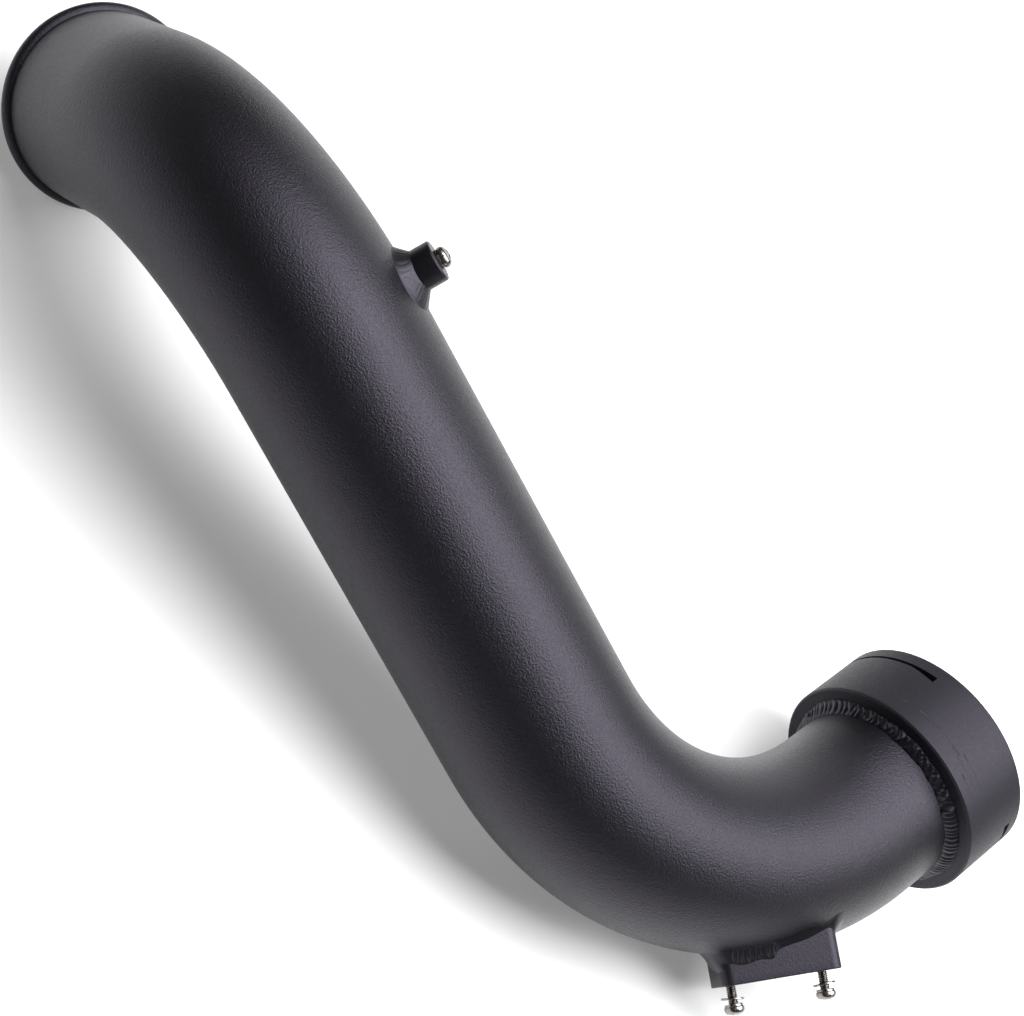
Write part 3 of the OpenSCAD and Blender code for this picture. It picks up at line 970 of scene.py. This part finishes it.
def makeBossWeld():
    # The fillet's height and reach wander with the distance round, and it reaches further downhill
    size = 2 * boss["radius"]
    outline = evenOutline(size, size, boss["radius"], bossBead["columns"])
    along = outline[2]
    height = bossBead["leg"] * (1 + waves(bossBead["legWander"], along))
    downhill = bossBead["downhill"] * np.clip(-outline[1][:, 0], 0, 1)
    flare = bossBead["flare"] * (1 + downhill + waves(bossBead["flareWander"], along))
    return filletRound("bossWeldBead", bossPlace, outline, height, flare, bossBead["pitch"],
                       bossBead["ripple"], bossBead["bulge"])


finished(makeBoss(), "boss", bossCoatPaintedShade)
finished(makeBossWeld(), "boss_weld", weldCoat)


# Screws and washers

screw = {
    "radius": 2.0,
    "bossLength": 8.0,
    "flangeLength": 16.0,
    "threadPitch": 0.7,
    "threadDepth": 0.4,
    "rowStep": 0.08,
    "top": 0.05,  # where the thread's last row lies under the head
    "tipFade": 1.2,  # mm over which the thread fades out at the tip, and under the head
    "neckFade": 0.8,
    "neck": 1.0,
    "flank": (1.25, 0.1),  # how steeply the thread's flank climbs, and the width of its root
    "tipTaper": 1.3,  # thread depths that the tip is thinner by
    "tipRows": 6,
    "headRadius": 4.0,
    "headHeight": 3.1,
    "headEdge": 0.25,
    "shoulderFoot": 0.30,  # share of the head's height where its shoulder starts, and its radius
    "shoulder": 0.62,
    "shoulderDegrees": 62,
    "shoulderRows": 14,
    "crown": 7.2,  # radius of the head's dome
    "crownRows": 44,
    "recess": 4.3,
    "wing": 0.9,
    "wingEase": 0.06,
    "recessDepth": 1.7,
    "recessSlope": (0.5, 0.12),  # mm over which a wing's end and its sides reach full depth
    "columns": 144,
    "sharpAngle": 34,
    "bossTurn": 35,  # degrees that the cross is turned
    "flangeTurn": 20,
}


def threadRows(length, angle):
    # The radius falls and rises with z less the angle's share of the pitch, and fades out at both ends
    radius, depth = screw["radius"], screw["threadDepth"]
    tipFade, (steepness, root) = screw["tipFade"], screw["flank"]
    stem = np.linspace(-length, -screw["top"], int(length / screw["rowStep"]))[:, None]
    turn = stem / screw["threadPitch"] - angle / (2 * math.pi)
    flank = 2 * np.abs(turn - np.floor(turn) - 0.5)
    fade = np.clip((stem + length) / tipFade, 0, 1) * np.clip(-stem / screw["neckFade"], 0, 1)
    core = radius - depth * np.where(stem > -screw["neck"], 1 - fade, 1)
    stemRadius = core + (radius - core) * np.clip(steepness * flank - root, 0, 1)
    tapered = np.minimum(stemRadius, radius - depth * screw["tipTaper"] * (1 - fade))
    stemRadius = np.where(stem < -length + tipFade, tapered, stemRadius)
    tipRadius = stemRadius[:1] * np.linspace(0, 1, screw["tipRows"])[:-1, None]
    return (np.concatenate([tipRadius, stemRadius]),
            np.concatenate([-length + 0 * tipRadius, stem + 0 * angle]))


def headRows(angle):
    # A dome on a round shoulder, sunk where the distance to either axis of the cross is under half a wing
    rim, tall, crown, edge = screw["headRadius"], screw["headHeight"], screw["crown"], screw["headEdge"]
    flat = np.array([(screw["radius"], 0), (rim - edge, 0), (rim, edge)])
    sweep = np.linspace(0, math.radians(screw["shoulderDegrees"]), screw["shoulderRows"])
    rounding = screw["shoulder"] * tall
    shoulder = np.stack([rim - rounding * (1 - np.cos(sweep)),
                         screw["shoulderFoot"] * tall + rounding * np.sin(sweep)], 1)
    domeRadius, domeFoot = shoulder[-1]
    inwards = np.linspace(1, 0, screw["crownRows"])[1:] * domeRadius
    domeTop = domeFoot + (np.sqrt(crown ** 2 - inwards ** 2) - math.sqrt(crown ** 2 - domeRadius ** 2))
    profile = np.concatenate([flat, shoulder, np.stack([inwards, domeTop], 1)])
    radius = profile[:, :1] + 0 * angle
    height = profile[:, 1:] + 0 * angle
    crossX, crossY = np.abs(radius * np.cos(angle)), np.abs(radius * np.sin(angle))
    halfLong, halfWide = screw["recess"] / 2, screw["wing"] / 2 + screw["wingEase"]
    endSlope, sideSlope = screw["recessSlope"]
    wings = [np.clip((halfLong - lengthways) / endSlope, 0, 1)
             * np.clip((halfWide - sideways) / sideSlope, 0, 1)
             for lengthways, sideways in ((crossX, crossY), (crossY, crossX))]
    onDome = (np.arange(len(profile)) >= len(flat) + len(shoulder) // 2)[:, None]
    return radius, height - screw["recessDepth"] * np.maximum(*wings) * onDome


def makeScrew(name, place, length):
    # The thread's rows and then the head's: each point has a radius, an angle and a height
    angle = np.linspace(0, 2 * math.pi, screw["columns"], endpoint=False)
    (stemRadius, stemHeight), (headRadius, headHeight) = threadRows(length, angle), headRows(angle)
    rows = np.concatenate([stemRadius, headRadius])
    heights = np.concatenate([stemHeight, headHeight])
    points = np.stack([rows * np.cos(angle), rows * np.sin(angle), heights], -1)
    return skin(name, carried(place, points), False, screw["sharpAngle"])


washer = {
    "flatRadius": 4.5,
    "flatThickness": 0.8,
    "flatStand": 4.6,
    "flatTilt": 5.0,
    "springRadius": 3.6,
    "springThickness": 1.0,
    "springGap": 14.0,  # degrees left open at the split
    "springLift": 0.25,
    "hole": 2.15,
    "edge": 0.15,
    "edgeSteps": 4,
    "spacing": 0.8,  # between points of the section
    "flatColumns": 96,
    "springColumns": 90,
    "headStand": 8.0,
    "bossSplit": 20,  # degrees round the screw where the split is
    "flangeSplit": 70,
}


def washerLoop(radius, thickness):
    # A rectangle from the hole out to the radius, with round corners
    corners = [(washer["hole"], 0), (radius, 0), (radius, thickness), (washer["hole"], thickness)]
    return filledLoop(roundedLoop(corners, washer["edge"], washer["edgeSteps"]), washer["spacing"])


def makeFlatWasher(name, place):
    # A rounded rectangle turned all the way round
    return turned(name, place, washerLoop(washer["flatRadius"], washer["flatThickness"]),
                  washer["flatColumns"])


def makeSpringWasher(name, place, split):
    # The same turned to a gap, and lifted along the way, so that its two ends stand apart
    loop = washerLoop(washer["springRadius"], washer["springThickness"])
    half = washer["springGap"] / 2
    return sector(name, place, loop, split + half, split + 360 - half, washer["springColumns"],
                  washer["springLift"])


def fasten(piece, node):
    finished(piece, node, steel)


bossFace = placeAt(bossPlace, (0, 0, tubeRadius + boss["height"]))
springTop = washer["springThickness"]
bossSeat = placeAt(bossFace, (0, 0, springTop), turnAbout("Z", screw["bossTurn"]))
fasten(makeScrew("bossPanScrew", bossSeat, screw["bossLength"]), "boss_screw")
fasten(makeSpringWasher("bossLockWasher", bossFace, washer["bossSplit"]), "boss_spring_washer")
for side, letter in ((1, "a"), (-1, "b")):
    hole = placeAt(flangePlace, (side * flange["pitch"] / 2, 0, tubeRadius + flange["height"]))
    under = placeAt(hole, (0, 0, washer["headStand"]))
    seat = placeAt(under, turn=turnAbout("Z", side * screw["flangeTurn"]))
    fasten(makeScrew("flangePanScrew_" + letter, seat, screw["flangeLength"]), "flange_screw_" + letter)
    flatPlace = placeAt(hole, (0, 0, washer["flatStand"]), turnAbout("Y", side * washer["flatTilt"]))
    fasten(makeFlatWasher("flatWasher_" + letter, flatPlace), "flat_washer_" + letter)
    springPlace = placeAt(under, (0, 0, -springTop))
    fasten(makeSpringWasher("lockWasher_" + letter, springPlace, side * washer["flangeSplit"]),
           "spring_washer_" + letter)


# Studio: a pale floor that glows faintly as painted light, a broad softbox overhead, a smaller one above
# the middle and a low one behind

studio = {
    "floor": "#dedede",
    "camera": (142.69, 539.61, 673.65),
    "right": (-0.7476, -0.39658, 0.53275),
    "down": (-0.64164, 0.63836, -0.4252),
    "forward": (-0.17145, -0.65971, -0.7317),
    "lens": 76.6,
    "film": 36.0,
    "floorSize": 25.0,
    # The floor's glow is painted light: it lifts the shadows on the floor and lights the tube from below
    "floorGlow": 0.22,
    "world": 0.08,
}

# Where each light is, what it points at, its width and height in metres, and its watts
lights = {
    "overheadSoftbox": ((-0.55, -0.1, 1.0), (-0.1, -0.02, 0.05), 0.8, 1.3, 25),
    "highFill": ((0.2, -0.22, 1.2), (0, 0, 0.05), 0.9, 0.5, 9.5),
    "backSoftbox": ((-0.15, -1.3, 0.35), (0, 0, 0.1), 1.3, 0.5, 5),
}


def makeFloor():
    size = studio["floorSize"]
    floor = bpy.data.meshes.new("studioFloor")
    floor.from_pydata([(-size, -size, 0), (size, -size, 0), (size, size, 0), (-size, size, 0)], [],
                      [(0, 1, 2, 3)])
    piece = bpy.data.objects.new("studioFloor", floor)
    bpy.context.scene.collection.objects.link(piece)
    material, tree = newMaterial("paleGlowingFloor")
    # Emission here makes the floor glow: painted light that fills its shadows and the tube's underside
    surface = addNode(tree, "ShaderNodeBsdfPrincipled", {
        "Base Color": linear(studio["floor"]), "Roughness": 0.9, "Emission Color": linear("#ffffff"),
        "Emission Strength": studio["floorGlow"]})
    addNode(tree, "ShaderNodeOutputMaterial", {"Surface": surface.outputs[0]})
    floor.materials.append(material)


def softLight(name, position, target, width, height, power):
    lamp = bpy.data.lights.new(name, "AREA")
    lamp.shape = "RECTANGLE"
    lamp.size, lamp.size_y = width, height
    lamp.energy = power
    light = bpy.data.objects.new(name, lamp)
    bpy.context.scene.collection.objects.link(light)
    light.location = position
    light.rotation_euler = (Vector(target) - Vector(position)).to_track_quat("-Z", "Y").to_euler()


def makeCamera():
    lens = bpy.data.cameras.new("camera")
    lens.lens = studio["lens"]
    lens.sensor_width = studio["film"]
    camera = bpy.data.objects.new("camera", lens)
    bpy.context.scene.collection.objects.link(camera)
    right, down, forward = (np.array(studio[key]) for key in ("right", "down", "forward"))
    spin = Matrix(np.stack([right, -down, -forward], 1).tolist())
    camera.matrix_world = Matrix.Translation(Vector(studio["camera"]) / perMetre) @ spin.to_4x4()
    bpy.context.scene.camera = camera


makeFloor()
makeCamera()
for name, light in lights.items():
    softLight(name, *light)
bpy.context.scene.view_settings.view_transform = "Standard"
world = bpy.data.worlds.new("studio")
bpy.context.scene.world = world
world.use_nodes = True
background = world.node_tree.nodes["Background"]
background.inputs["Color"].default_value = linear("#ffffff")
background.inputs["Strength"].default_value = studio["world"]
print("studio set")
